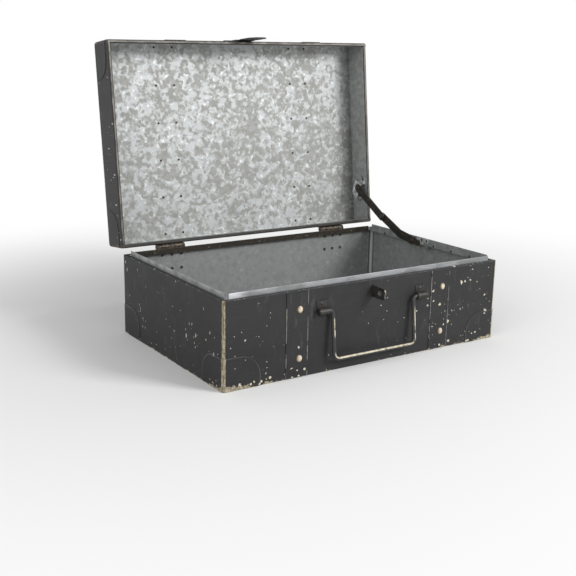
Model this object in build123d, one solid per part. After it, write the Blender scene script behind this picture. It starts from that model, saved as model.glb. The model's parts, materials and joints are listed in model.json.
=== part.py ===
from build123d import *
import math
import os

# A small sheet steel trunk with a hinged lid, in millimetres.
# X runs along the front, Y from the front to the back, Z up.
# The origin is the middle of the body's underside.
# Lid pieces are built closed and swung open about the hinge pins as they are written out.

# ---- the box -----------------------------------------------------------------
body_width = 370.0
body_depth = 240.0
body_height = 95.0
lid_height = 39.0
sheet = 0.8
corner_radius = 3.0            # upright corners, in plan
seam_gap = 0.2                 # closed lid to ledge
open_angle = 96.4              # degrees from closed

# ---- rims --------------------------------------------------------------------
ledge_front = 5.0              # width of the ledge at front and back
ledge_side = 6.0
ledge_drop = 4.2               # inner flange below the ledge
rim_bend = 0.9                 # bend radius at mid sheet
base_bend = 1.4
lid_bend = 1.6
lap = 6.5                      # side wall flange lapped on the front and back walls
lid_lap = 3.0
lap_gap = 1.0                  # ledge flange to the top of a lapped flange
fold_start = 3.0               # a side wall's rolled edge starts this far from its end
hem_width = 4.2
hem_height = 5.8
hem_bend = 0.7

# ---- raised inner strip that the lid closes round -----------------------------
strip = 1.0
strip_rise = 5.3
strip_rise_back = 2.5
strip_end_gap_front = 9.6
strip_end_gap_side = 10.0
strip_rivet_pitch = 32.2
strip_rivet_drop = 2.4
strip_rivet_end_gap = 29.0
strip_round = 0.45

# ---- trim --------------------------------------------------------------------
trim = 0.7
strap_width = 27.0
strap_end_gap_side = 74.0      # strap to the box's side
strap_end_gap = 1.4
strap_back_return = 10.0
strap_rivet_shift = 2.5        # right of the strap's middle
strap_rivet_high = 21.0        # below the seam
strap_rivet_low = 21.0         # above the base
lid_strap_rivet_drop = 18.0
tack_offset = 12.2
tack_count = 6
tack_front_gap = 4.5
tack_back_gap = 8.0
plate = 0.6
plate_length = 44.0
plate_height = 35.0
lid_plate_height = 30.0
plate_round = 24.0
plate_end_gap = 0.4

# ---- hinges ------------------------------------------------------------------
hinge_end_gap = 46.3           # hinge to the box's side
hinge_width = 37.4
hinge_shift = 1.5              # both hinges, to the left
hinge_sheet = 1.0
hinge_knuckles = 5
knuckle_radius = 3.0
hinge_pin_radius = 1.4
running_gap = 0.05             # pin to turning knuckle
fixed_gap = 0.01               # pin to the knuckle that holds it
knuckle_gap = 0.3
hinge_stand_off = 3.4          # pin axis behind the back wall
hinge_rise = 2.8               # pin axis above the seam
body_leaf_length = 31.0        # below the seam
lid_leaf_length = 23.0         # above the pin
hinge_rivet_pitch = 12.9
body_leaf_rows = (6.5, 24.0)   # below the seam
lid_leaf_rows = (9.5, 18.5)    # above the pin

# ---- bail handle -------------------------------------------------------------
rod_radius = 2.25
bail_drop = 53.0
bail_tilt = 6.0                # degrees out from hanging
bail_bend = 6.0
bail_top_bend = 4.2
bail_tail = 17.5
eye_outer = 3.7
eye_length = 12.8
eye_strap_gap = 10.7           # eye to the strap beside it
bail_inset = 11.9              # bail's arm to the eye's middle
eye_height = 68.8
eye_sheet = 0.8
eye_foot = 11.5
eye_rivet_rise = 8.0

# ---- staple and hasp ---------------------------------------------------------
staple_thickness = 1.6
staple_height = 13.0
staple_reach = 22.0
staple_drop = 13.0             # its middle below the seam
staple_nose = 4.0
staple_eye_radius = 3.0
staple_eye_setback = 8.5
staple_foot = 9.0
staple_slot_gap = 0.1
hasp_width = 28.0
hasp_sheet = 1.0
hasp_lean = 1.2                # degrees towards the front, so that the tip nearly rests on it
hasp_leaf_sheet = 0.8
hasp_leaf_length = 17.0
hasp_pin_radius = 0.9
hasp_knuckle_radius = 2.2
hasp_pin_stand_off = 2.4
hasp_pin_drop = 5.0            # below the lid's top
hasp_knuckles = 5
hasp_tip_drop = 33.0           # below the seam
hasp_tip_half_width = 6.0
hasp_chamfer = 8.0
hasp_lower_half_width = 12.6
hasp_notch_radius = 4.0
hasp_slot_width = 6.0
hasp_slot_round = 2.4
hasp_slot_above = 2.5          # slot beyond the staple
hasp_slot_below = 4.0
hasp_rivet_offset = 8.0
hasp_rivet_end_gap = 5.0

# ---- folding stay on the right ------------------------------------------------
arm_sheet = 1.5
arm_gap = 0.3
stay_bracket_sheet = 1.0
stay_body_forward = 101.4      # body pivot in front of the pin
stay_body_drop = 0.8           # and below the seam
stay_lid_forward = 49.8        # lid pivot in front of the pin, lid closed
stay_lid_rise = 13.3           # and above the seam
elbow_share = 0.515            # of the way from body to lid pivot
elbow_sag = 6.5
lower_arm_width = 10.7
lower_arm_bend_share = 0.385
lower_arm_bend_sag = 4.2
lower_arm_tail = 11.0
lower_arm_tail_width = 7.0
upper_arm_width = 10.5
pivot_radius = 1.8
pivot_head_radius = 3.4
pivot_head_height = 1.2
elbow_tail_height = 0.5
elbow_tail_radius = 3.0
lid_bracket_width = 13.0
lid_bracket_half_bridge = 10.0
lid_bracket_foot = 7.5
lid_bracket_corner = 3.0
lid_bracket_slope = 27.0       # degrees
lid_bracket_offset = 4.5       # its middle line above the pivot
lid_bracket_advance = 3.9      # and its middle behind the pivot, along the slope
body_bracket_forward = 30.0    # ahead of the pivot
body_bracket_back = 9.0
body_bracket_low_gap = 0.4     # bracket to the strip's bottom edge
body_bracket_high_gap = 0.6    # and to its top edge
body_bracket_corner = 3.0
body_bracket_tab_drop = 4.5
body_bracket_tab_radius = 4.0
body_bracket_rivet_rise = 2.3  # above the seam
body_bracket_rivet_gaps = (4.0, 13.0)

# ---- rivets: head radius and height, shank radius, tail radius and height -------
strap_rivet = dict(head=4.0, rise=2.2, shank=1.6, tail=2.8, tail_rise=0.7)
leaf_rivet = dict(head=1.9, rise=0.8, shank=1.0, tail=1.8, tail_rise=0.6)
flat_rivet = dict(head=1.9, rise=0.4, shank=1.0, tail=1.8, tail_rise=0.6)
small_rivet = dict(head=1.6, rise=0.5, shank=0.8, tail=1.1, tail_rise=0.4)
tack = dict(head=1.1, rise=0.35, shank=0.5, tail=1.4, tail_rise=0.5)

# ---- worked out from the above -------------------------------------------------
half_w = body_width / 2
strap_centre = half_w - strap_end_gap_side - strap_width / 2
eye_centre = strap_centre - strap_width / 2 - eye_strap_gap - eye_length / 2
bail_half_width = eye_centre - bail_inset
hinge_centre = half_w - hinge_end_gap - hinge_width / 2
hinge_places = (("left", -hinge_centre - hinge_shift), ("right", hinge_centre - hinge_shift))
half_d = body_depth / 2
mid = sheet / 2
seam = body_height
rim_z = seam + seam_gap
lid_top = seam + lid_height
pin_y = half_d + hinge_stand_off
pin_z = seam + hinge_rise
strip_bottom = seam - ledge_drop
strip_face = half_w - ledge_side - strip             # inner face of the side strips
bracket_face = strip_face - stay_bracket_sheet
lower_arm_x = bracket_face - arm_gap - arm_sheet / 2
upper_arm_x = lower_arm_x - arm_gap - arm_sheet


def block(x0, x1, y0, y1, z0, z1):
    """A box between two corners."""
    return Pos((x0 + x1) / 2, (y0 + y1) / 2, (z0 + z1) / 2) * Box(x1 - x0, y1 - y0, z1 - z0)


def across(face, x0, x1):
    """A sketch of Y and Z, extruded from x0 to x1."""
    return extrude(Plane.YZ.offset(x0) * face, amount=x1 - x0, dir=(1, 0, 0))


def along(face, y0, y1):
    """A sketch of X and Z, extruded from y0 to y1."""
    level = Plane(origin=(0, y1, 0), x_dir=(1, 0, 0), z_dir=(0, -1, 0))
    return extrude(level * face, amount=y1 - y0, dir=(0, -1, 0))


def upright(face, z0, z1):
    """A sketch of X and Y, extruded from z0 to z1."""
    return extrude(Plane.XY.offset(z0) * face, amount=z1 - z0, dir=(0, 0, 1))


def folded(points, radii, thickness=sheet):
    """The cut section of a sheet folded along a middle line."""
    return trace(FilletPolyline(*points, radius=radii), line_width=thickness)


def left_right(solid):
    """A solid and its mirror image across the middle of the trunk."""
    return solid, mirror(solid, about=Plane.YZ)


def swing(point, degrees):
    """A point of Y and Z turned about the hinge pins; positive closes the lid."""
    y, z = point[0] - pin_y, point[1] - pin_z
    c, s = math.cos(math.radians(degrees)), math.sin(math.radians(degrees))
    return (pin_y + c * y - s * z, pin_z + s * y + c * z)


def rivets_at(places, axis, grip, kind):
    """Rivets of one kind: head seats, the way the heads face and the thickness gripped."""
    return [dict(place=place, axis=axis, grip=grip, **kind) for place in places]


def rivet(place, axis, grip, head, rise, shank, tail, tail_rise):
    """A rivet with its head's seat at place, its head towards axis and its shank the other way."""
    clench = Pos(0, 0, -grip - tail_rise / 2) * Cylinder(tail, tail_rise)
    clench = Plane(origin=place, z_dir=axis).location * clench
    return headed_pin(place, axis, grip, head, rise, shank) + clench


def rivet_group(rows):
    """The rivets of a list as separate solids in one piece."""
    return Compound(children=[rivet(**row) for row in rows])


def drilled(solid, rows):
    """A solid with a hole for each rivet that passes through it."""
    for row in rows:
        hole = Pos(0, 0, -row["grip"] / 2) * Cylinder(row["shank"] + fixed_gap, row["grip"] + 1)
        solid -= Plane(origin=row["place"], z_dir=row["axis"]).location * hole
    return solid


def headed_pin(place, axis, length, head, rise, shank):
    """A low domed head seated at place, with a plain shank behind it."""
    ball = (head**2 + rise**2) / (2 * rise)
    half = math.asin(min(1.0, head / ball)) / 2
    crown = (ball * math.sin(half), rise - ball + ball * math.cos(half))
    with BuildSketch(Plane.XZ) as section:
        with BuildLine():
            Line((0, -length), (0, rise))
            ThreePointArc((0, rise), crown, (head, 0))
            Polyline((head, 0), (shank, 0), (shank, -length), (0, -length))
        make_face()
    body = revolve(section.sketch, axis=Axis.Z)
    return Plane(origin=place, z_dir=axis).location * body


def rounded_box_plan(inset=0.0):
    """The plan of the box, smaller by inset all round, with square corners when no radius is left."""
    size = (body_width - 2 * inset, body_depth - 2 * inset)
    return RectangleRounded(*size, corner_radius - inset) if inset < corner_radius else Rectangle(*size)


# ---- body ----------------------------------------------------------------------
def body_wrap():
    """Front, bottom and back in one sheet, with the ledge folded in along both top edges."""
    flange = half_d - ledge_front + mid
    wall = half_d - mid
    points = [(-flange, seam - ledge_drop), (-flange, seam - mid), (-wall, seam - mid), (-wall, mid),
              (wall, mid), (wall, seam - mid), (flange, seam - mid), (flange, seam - ledge_drop)]
    radii = [rim_bend, rim_bend, base_bend, base_bend, rim_bend, rim_bend]
    shell = across(folded(points, radii), -half_w, half_w)
    for side in (-1, 1):
        ends = sorted((side * (half_w - corner_radius), side * (half_w + 1)))
        shell -= block(*ends, -half_d - 1, half_d + 1, sheet, seam - sheet)
        inner = sorted((side * (half_w - ledge_side), side * (half_w + 1)))
        shell -= block(*inner, -half_d + 2 * sheet, half_d - 2 * sheet, sheet, seam - sheet)
    shell &= upright(rounded_box_plan(), -1, seam + 1)
    staple_z = seam - staple_drop
    slot = staple_height / 2 + staple_slot_gap
    width = staple_thickness / 2 + staple_slot_gap
    return shell - block(-width, width, -half_d - 1, -half_d + 2 * sheet, staple_z - slot, staple_z + slot)


def body_left_side():
    """Left wall with round upright corners, a ledge and flanges that lap the wrap inside."""
    cut = half_w - corner_radius
    ring = rounded_box_plan() - rounded_box_plan(sheet)
    ring &= Pos(-(cut + half_w) / 2 - 1, 0) * Rectangle(half_w - cut + 2, body_depth + 2)
    rim_reach = half_d - ledge_front
    wall = upright(ring, sheet, seam - sheet)
    wall -= block(-half_w - 1, -half_w + 2 * sheet, -rim_reach, rim_reach, seam - fold_start, seam)
    flange = half_w - ledge_side + mid
    points = [(-flange, seam - ledge_drop), (-flange, seam - mid), (-half_w + mid, seam - mid),
              (-half_w + mid, seam - fold_start)]
    wall += along(folded(points, rim_bend), -rim_reach, rim_reach)
    lap_top = seam - ledge_drop - lap_gap
    for side in (-1, 1):
        ys = sorted((side * (half_d - 2 * sheet), side * (half_d - sheet)))
        wall += block(-cut - 1, -half_w + lap, *ys, sheet + base_bend, lap_top)
    foot = half_d - corner_radius - base_bend
    return wall + block(-half_w + mid, -half_w + lap, -foot, foot, sheet, 2 * sheet)


def front_strip(rise, y_sign):
    """A strip inside the front or back ledge."""
    reach = half_w - strip_end_gap_front
    ys = sorted((y_sign * (half_d - ledge_front), y_sign * (half_d - ledge_front - strip)))
    bar = block(-reach, reach, *ys, strip_bottom, seam + rise)
    return fillet(bar.edges().filter_by(Axis.X).group_by(Axis.Z)[-1], strip_round)


def left_strip():
    reach = half_d - strip_end_gap_side
    bar = block(-half_w + ledge_side, -strip_face, -reach, reach, strip_bottom, seam + strip_rise)
    return fillet(bar.edges().filter_by(Axis.Y).group_by(Axis.Z)[-1], strip_round)


def spread(first, last, count):
    """Evenly spaced places from first to last."""
    return [first + (last - first) * i / (count - 1) for i in range(count)]


def strip_rivet_rows():
    """Rivets that fix the strips to the inner flange of the ledge, clear of the stay's bracket."""
    z = seam - strip_rivet_drop
    reach = half_d - strip_end_gap_side - strip_rivet_end_gap
    ys = spread(-reach, reach, int(2 * reach / strip_rivet_pitch) + 1)
    low, high = body_pivot[0] - body_bracket_forward, body_pivot[0] + body_bracket_back
    clear = [y for y in ys if not low - small_rivet["head"] < y < high + small_rivet["head"]]
    rows = rivets_at([(-strip_face, y, z) for y in ys], (1, 0, 0), strip + sheet, small_rivet)
    rows += rivets_at([(strip_face, y, z) for y in clear], (-1, 0, 0), strip + sheet, small_rivet)
    reach = half_w - strip_end_gap_front - strip_rivet_end_gap
    xs = spread(-reach, reach, int(reach / strip_rivet_pitch) + 1)
    face = half_d - ledge_front - strip
    rows += rivets_at([(x, -face, z) for x in xs], (0, 1, 0), strip + sheet, small_rivet)
    rows += rivets_at([(x, face, z) for x in xs], (0, -1, 0), strip + sheet, small_rivet)
    return rows


def corner_plate(z_edge, direction, height):
    """The plate round a front left corner: a front and a side leaf with one round corner each."""
    def leaf(edge, length):
        far = edge + length
        low, high = z_edge, z_edge + direction * height
        with BuildSketch() as outline:
            with BuildLine():
                Polyline((far, low), (edge, low), (edge, high), (far - plate_round, high))
                tip = plate_round * math.sqrt(0.5)
                middle = (far - plate_round + tip, high - direction * (plate_round - tip))
                ThreePointArc((far - plate_round, high), middle, (far, high - direction * plate_round))
                Line((far, high - direction * plate_round), (far, low))
            make_face()
        return outline.sketch
    levels = sorted((z_edge, z_edge + direction * height))
    outer = RectangleRounded(body_width + 2 * plate, body_depth + 2 * plate, corner_radius + plate)
    ring = upright(outer - rounded_box_plan(), *levels)
    front = along(leaf(-half_w - plate, plate_length), -half_d - plate - 1, -half_d + corner_radius)
    side = across(leaf(-half_d - plate, plate_length), -half_w - plate - 1, -half_w + corner_radius)
    corner = block(-half_w - 2, -half_w + plate_length, -half_d - 2, -half_d + plate_length, *levels)
    bend = block(-half_w - 2, -half_w + corner_radius, -half_d - 2, -half_d + corner_radius, *levels)
    return (ring & corner & front) + (ring & corner & side) + (ring & bend)


def four_corners(solid):
    left, right = left_right(solid)
    back_left, back_right = mirror(left, about=Plane.XZ), mirror(right, about=Plane.XZ)
    return dict(front_left=left, front_right=right, back_left=back_left, back_right=back_right)


def body_left_strap():
    return block(-strap_centre - strap_width / 2, -strap_centre + strap_width / 2,
                 -half_d - trim, -half_d, base_bend, seam - strap_end_gap)


def body_strap_rivet_rows():
    places = [(x + strap_rivet_shift, -half_d - trim, z) for x in (-strap_centre, strap_centre)
              for z in (seam - strap_rivet_high, strap_rivet_low)]
    return rivets_at(places, (0, -1, 0), trim + sheet, strap_rivet)


# ---- handle --------------------------------------------------------------------
def left_eye():
    """A strip curled round the handle's end, with its foot flat on the front."""
    axis_y = -half_d - eye_outer
    barrel = Pos(-eye_centre, axis_y, eye_height) * Rot(0, 90, 0) * Cylinder(eye_outer, eye_length)
    x0, x1 = -eye_centre - eye_length / 2, -eye_centre + eye_length / 2
    foot = block(x0, x1, -half_d - eye_sheet, -half_d, eye_height, eye_height + eye_foot)
    bore = Pos(-eye_centre, axis_y, eye_height) * Rot(0, 90, 0)
    bore *= Cylinder(rod_radius + running_gap, eye_length + 2)
    return barrel + foot - bore


def eye_rivet_rows():
    z = eye_height + eye_rivet_rise
    places = [(x, -half_d - eye_sheet, z) for x in (-eye_centre, eye_centre)]
    return rivets_at(places, (0, -1, 0), eye_sheet + sheet, leaf_rivet)


def bail():
    """A round rod bent to a bail, hung a little out from the front."""
    ends = bail_half_width + bail_tail
    path = FilletPolyline((-ends, 0), (-bail_half_width, 0), (-bail_half_width, -bail_drop),
                          (bail_half_width, -bail_drop), (bail_half_width, 0), (ends, 0),
                          radius=[bail_top_bend, bail_bend, bail_bend, bail_top_bend])
    path = Plane.XZ.location * path
    rod = sweep(Plane(origin=path @ 0, z_dir=path % 0) * Circle(rod_radius), path=path)
    return Pos(0, -half_d - eye_outer, eye_height) * Rot(-bail_tilt, 0, 0) * rod


# ---- staple and hasp -----------------------------------------------------------
def staple():
    """A strip folded in two that stands out through the front, with its ends spread inside."""
    z = seam - staple_drop
    z0, z1 = z - staple_height / 2, z + staple_height / 2
    tip, inside = -half_d - staple_reach, -half_d + sheet
    half = staple_thickness / 2
    tab = block(-half, half, tip, inside + sheet, z0, z1)
    tab = fillet(tab.edges().filter_by(Axis.X).group_by(Axis.Y)[0], staple_nose)
    tab += block(-staple_foot, staple_foot, inside, inside + sheet, z0, z1)
    eye_place = Pos(0, tip + staple_eye_setback, z) * Rot(0, 90, 0)
    return tab - eye_place * Cylinder(staple_eye_radius, 4 * staple_thickness)


def knuckle_spans(width, count, gap):
    """The start and end of each knuckle along a hinge."""
    step = width / count
    return [(-width / 2 + i * step + gap / 2, -width / 2 + (i + 1) * step - gap / 2) for i in range(count)]


def knuckles(spans, y, z, outer, bore):
    """Rings about an X axis at y, z."""
    rings = []
    for x0, x1 in spans:
        ring = Cylinder(outer, x1 - x0) - Cylinder(bore, x1 - x0 + 1)
        rings.append(Pos((x0 + x1) / 2, y, z) * Rot(0, 90, 0) * ring)
    return rings


hasp_pin_y = -half_d - hasp_pin_stand_off
hasp_pin_z = lid_top - hasp_pin_drop


def hasp_leaf():
    """The hasp's fixed leaf, flat on the lid front below the pin."""
    spans = knuckle_spans(hasp_width, hasp_knuckles, knuckle_gap)
    clear = hasp_pin_z - hasp_knuckle_radius - knuckle_gap
    leaf = block(-hasp_width / 2, hasp_width / 2, -half_d - hasp_leaf_sheet, -half_d,
                 hasp_pin_z - hasp_leaf_length, clear)
    for x0, x1 in spans[0::2]:
        leaf += block(x0, x1, -half_d - hasp_leaf_sheet, -half_d, clear - 1, hasp_pin_z)
    bore = hasp_pin_radius + fixed_gap
    for ring in knuckles(spans[0::2], hasp_pin_y, hasp_pin_z, hasp_knuckle_radius, bore):
        leaf += ring
    pin_room = Pos(0, hasp_pin_y, hasp_pin_z) * Rot(0, 90, 0)
    return leaf - pin_room * Cylinder(bore, hasp_width + 2)


def hasp_leaf_rivet_rows():
    z = hasp_pin_z - hasp_leaf_length + hasp_rivet_end_gap
    places = [(x, -half_d - hasp_leaf_sheet, z) for x in (-hasp_rivet_offset, hasp_rivet_offset)]
    return rivets_at(places, (0, -1, 0), hasp_leaf_sheet + sheet, flat_rivet)


def hasp_pin():
    return Pos(0, hasp_pin_y, hasp_pin_z) * Rot(0, 90, 0) * Cylinder(hasp_pin_radius, hasp_width)


def hasp_plate():
    """The swinging plate: wide on the lid, notched at the seam, with a slot for the staple."""
    tip = seam - hasp_tip_drop
    half = hasp_width / 2
    top = hasp_pin_z - hasp_knuckle_radius - knuckle_gap
    lower = hasp_lower_half_width
    right = [(half, top), (half, seam), (lower, seam), (lower, tip + hasp_chamfer), (hasp_tip_half_width, tip)]
    outline = Polygon(*right, *[(-x, z) for x, z in reversed(right)], align=None)
    for side in (-1, 1):
        outline -= Pos(side * half, seam) * Circle(hasp_notch_radius)
    staple_z = seam - staple_drop
    slot_low = staple_z - staple_height / 2 - hasp_slot_below
    slot_high = staple_z + staple_height / 2 + hasp_slot_above
    slot = Pos(0, (slot_low + slot_high) / 2)
    outline -= slot * RectangleRounded(hasp_slot_width, slot_high - slot_low, hasp_slot_round)
    y0, y1 = hasp_pin_y - hasp_sheet / 2, hasp_pin_y + hasp_sheet / 2
    plate_body = along(outline, y0, y1)
    spans = knuckle_spans(hasp_width, hasp_knuckles, knuckle_gap)[1::2]
    for x0, x1 in spans:
        plate_body += block(x0, x1, y0, y1, top - 1, hasp_pin_z)
    bore = hasp_pin_radius + running_gap
    for ring in knuckles(spans, hasp_pin_y, hasp_pin_z, hasp_knuckle_radius, bore):
        plate_body += ring
    about_pin = Pos(0, hasp_pin_y, hasp_pin_z)
    plate_body -= about_pin * Rot(0, 90, 0) * Cylinder(bore, hasp_width + 2)
    return about_pin * Rot(hasp_lean, 0, 0) * about_pin.inverse() * plate_body


# ---- hinges --------------------------------------------------------------------
def hinge_leaf(spans, far_z, bore):
    """A leaf on the outside of the back, from the pin to far_z, with the knuckles it owns."""
    away = 1 if far_z > pin_z else -1
    clear = pin_z + away * (knuckle_radius + knuckle_gap)
    levels = sorted((clear, far_z))
    leaf = block(-hinge_width / 2, hinge_width / 2, half_d, half_d + hinge_sheet, *levels)
    for x0, x1 in spans:
        tongue = sorted((clear + away, pin_z))
        leaf += block(x0, x1, half_d, half_d + hinge_sheet, *tongue)
    for ring in knuckles(spans, pin_y, pin_z, knuckle_radius, bore):
        leaf += ring
    return leaf - Pos(0, pin_y, pin_z) * Rot(0, 90, 0) * Cylinder(bore, hinge_width + 2)


def hinge_pin():
    return Pos(0, pin_y, pin_z) * Rot(0, 90, 0) * Cylinder(hinge_pin_radius, hinge_width)


def hinge_rivet_rows(levels):
    """Three rivets across each hinge leaf at each level."""
    places = [(centre + i * hinge_rivet_pitch, half_d + hinge_sheet, z)
              for _, centre in hinge_places for z in levels for i in (-1, 0, 1)]
    return rivets_at(places, (0, 1, 0), hinge_sheet + sheet, leaf_rivet)


# ---- lid -----------------------------------------------------------------------
def lid_pan():
    """Front, top and back of the lid in one sheet, hemmed along both bottom edges."""
    fold = half_d - hem_width + mid
    wall = half_d - mid
    points = [(-fold, rim_z + hem_height), (-fold, rim_z + mid), (-wall, rim_z + mid), (-wall, lid_top - mid),
              (wall, lid_top - mid), (wall, rim_z + mid), (fold, rim_z + mid), (fold, rim_z + hem_height)]
    radii = [hem_bend, hem_bend, lid_bend, lid_bend, hem_bend, hem_bend]
    shell = across(folded(points, radii), -half_w, half_w)
    for side in (-1, 1):
        ends = sorted((side * (half_w - corner_radius), side * (half_w + 1)))
        shell -= block(*ends, -half_d - 1, half_d + 1, rim_z - 1, lid_top - sheet)
    return shell & upright(rounded_box_plan(), rim_z - 1, lid_top + 1)


def lid_left_side():
    """Left wall of the lid with round upright corners, a hem and narrow flanges."""
    cut = half_w - corner_radius
    beyond = Pos(-(cut + half_w) / 2 - 1, 0) * Rectangle(half_w - cut + 2, body_depth + 2)
    ring = (rounded_box_plan() - rounded_box_plan(sheet)) & beyond
    hem_ring = (rounded_box_plan() - rounded_box_plan(hem_width)) & beyond
    straight = half_d - max(corner_radius, hem_width)
    wall = upright(ring, rim_z, lid_top - sheet)
    wall += upright(hem_ring, rim_z, rim_z + sheet)
    wall -= block(-half_w - 1, -half_w + hem_width + 1, -straight, straight, rim_z - 1, rim_z + fold_start)
    turned = half_w - hem_width + mid
    points = [(-turned, rim_z + hem_height), (-turned, rim_z + mid), (-half_w + mid, rim_z + mid),
              (-half_w + mid, rim_z + fold_start)]
    wall += along(folded(points, hem_bend), -straight, straight)
    lap_end = -half_w + sheet + lid_lap
    for side in (-1, 1):
        ys = sorted((side * (half_d - 2 * sheet), side * (half_d - sheet)))
        wall += block(-cut - 1, lap_end, *ys, rim_z + hem_height + 1, lid_top - sheet - lid_bend)
    reach = half_d - corner_radius - lid_bend
    return wall + block(-half_w + mid, lap_end, -reach, reach, lid_top - 2 * sheet, lid_top - sheet)


def lid_left_strap():
    """The strap over the lid: up the front, across the top and a little down the back."""
    out = half_d + trim / 2
    top = lid_top + trim / 2
    points = [(-out, rim_z + strap_end_gap), (-out, top), (out, top), (out, lid_top - strap_back_return)]
    band = folded(points, lid_bend + mid + trim / 2, trim)
    return across(band, -strap_centre - strap_width / 2, -strap_centre + strap_width / 2)


def lid_strap_rivet_rows():
    places = [(x, -half_d - trim, lid_top - lid_strap_rivet_drop) for x in (-strap_centre, strap_centre)]
    return rivets_at(places, (0, -1, 0), trim + sheet, strap_rivet)


def tack_rows():
    """Two rows of tacks along each strap, clenched inside the lid."""
    places = [(centre + offset, y, lid_top + trim)
              for centre in (-strap_centre, strap_centre) for offset in (-tack_offset, tack_offset)
              for y in spread(-half_d + tack_front_gap, half_d - tack_back_gap, tack_count)]
    return rivets_at(places, (0, 0, 1), trim + sheet, tack)


# ---- folding stay ----------------------------------------------------------------
body_pivot = (pin_y - stay_body_forward, seam - stay_body_drop)
lid_pivot = (pin_y - stay_lid_forward, seam + stay_lid_rise)
lid_pivot_open = swing(lid_pivot, -open_angle)
chord = (lid_pivot_open[0] - body_pivot[0], lid_pivot_open[1] - body_pivot[1])
chord_length = math.hypot(*chord)
chord_y, chord_z = chord[0] / chord_length, chord[1] / chord_length


def beside_chord(share, sag):
    """A point a share of the way from the body pivot to the open lid's pivot, and sag below that line."""
    y = body_pivot[0] + share * chord[0] + sag * chord_z
    z = body_pivot[1] + share * chord[1] - sag * chord_y
    return (y, z)


elbow = beside_chord(elbow_share, elbow_sag)


def arm(points, width, x_middle, holes):
    """A flat bar with round ends along a line of Y and Z points, with a hole at each pivot."""
    bar = trace(Polyline(*points), line_width=width)
    for point in points:
        bar += Pos(*point) * Circle(width / 2)
    for point in holes:
        bar -= Pos(*point) * Circle(pivot_radius + running_gap)
    return across(bar, x_middle - arm_sheet / 2, x_middle + arm_sheet / 2)


def lower_arm():
    """The cranked arm from the body to the elbow, with a short tail past the body pivot."""
    bend_share = elbow_share * lower_arm_bend_share
    bend_sag = elbow_sag * lower_arm_bend_share + lower_arm_bend_sag
    bend = beside_chord(bend_share, bend_sag)
    run = (bend[0] - body_pivot[0], bend[1] - body_pivot[1])
    back = lower_arm_tail / math.hypot(*run)
    tail = (body_pivot[0] - back * run[0], body_pivot[1] - back * run[1])
    bar = arm([body_pivot, bend, elbow], lower_arm_width, lower_arm_x, [body_pivot, elbow])
    end = trace(Line(body_pivot, tail), line_width=lower_arm_tail_width)
    end += Pos(*tail) * Circle(lower_arm_tail_width / 2)
    end -= Pos(*body_pivot) * Circle(pivot_radius + running_gap)
    return bar + across(end, lower_arm_x - arm_sheet / 2, lower_arm_x + arm_sheet / 2)


def upper_arm():
    """The straight arm from the elbow to the open lid."""
    return arm([elbow, lid_pivot_open], upper_arm_width, upper_arm_x, [elbow, lid_pivot_open])


def pivot(point, x_seat, x_end):
    """A pivot rivet with its head inboard, turning free in the arm and ending at x_end."""
    return headed_pin((x_seat, *point), (-1, 0, 0), x_end - x_seat, pivot_head_radius, pivot_head_height,
                      pivot_radius)


def elbow_rivet():
    """The elbow rivet's head and the part of its shank inside the upper arm."""
    return pivot(elbow, upper_arm_x - arm_sheet / 2 - fixed_gap, upper_arm_x + arm_sheet / 2)


def elbow_tail():
    """The elbow rivet's clenched end and the part of its shank inside the lower arm."""
    seat = lower_arm_x + arm_sheet / 2 + fixed_gap
    grip = arm_sheet + fixed_gap
    return headed_pin((seat, *elbow), (1, 0, 0), grip, elbow_tail_radius, elbow_tail_height, pivot_radius)


def stay_body_bracket():
    """A flat plate on the right strip, with a tab turned down at its front."""
    y0, y1 = body_pivot[0] - body_bracket_forward, body_pivot[0] + body_bracket_back
    z0, z1 = strip_bottom + body_bracket_low_gap, seam + strip_rise - body_bracket_high_gap
    outline = Pos((y0 + y1) / 2, (z0 + z1) / 2) * RectangleRounded(y1 - y0, z1 - z0, body_bracket_corner)
    tab = body_bracket_tab_radius
    drop = body_bracket_tab_drop
    outline += Pos(y0 + tab, z0 + tab - drop) * Circle(tab)
    outline += Pos(y0 + tab, z0 + tab - drop / 2) * Rectangle(2 * tab, drop)
    outline -= Pos(*body_pivot) * Circle(pivot_radius + fixed_gap)
    return across(outline, bracket_face, strip_face)


def stay_body_bracket_rivet_rows():
    """Two rivets through the strip, both ahead of the turning arm."""
    front = body_pivot[0] - body_bracket_forward
    z = seam + body_bracket_rivet_rise
    places = [(bracket_face, front + gap, z) for gap in body_bracket_rivet_gaps]
    return rivets_at(places, (-1, 0, 0), stay_bracket_sheet + strip, small_rivet)


bridge_x0 = lower_arm_x - arm_sheet / 2                 # inboard face of the lid bracket's bridge
bridge_x1 = bridge_x0 + stay_bracket_sheet
slope = math.radians(lid_bracket_slope)
slope_y, slope_z = math.cos(slope), math.sin(slope)
bracket_middle = (lid_pivot[0] + lid_bracket_advance * slope_y - lid_bracket_offset * slope_z,
                  lid_pivot[1] + lid_bracket_advance * slope_z + lid_bracket_offset * slope_y)


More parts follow.
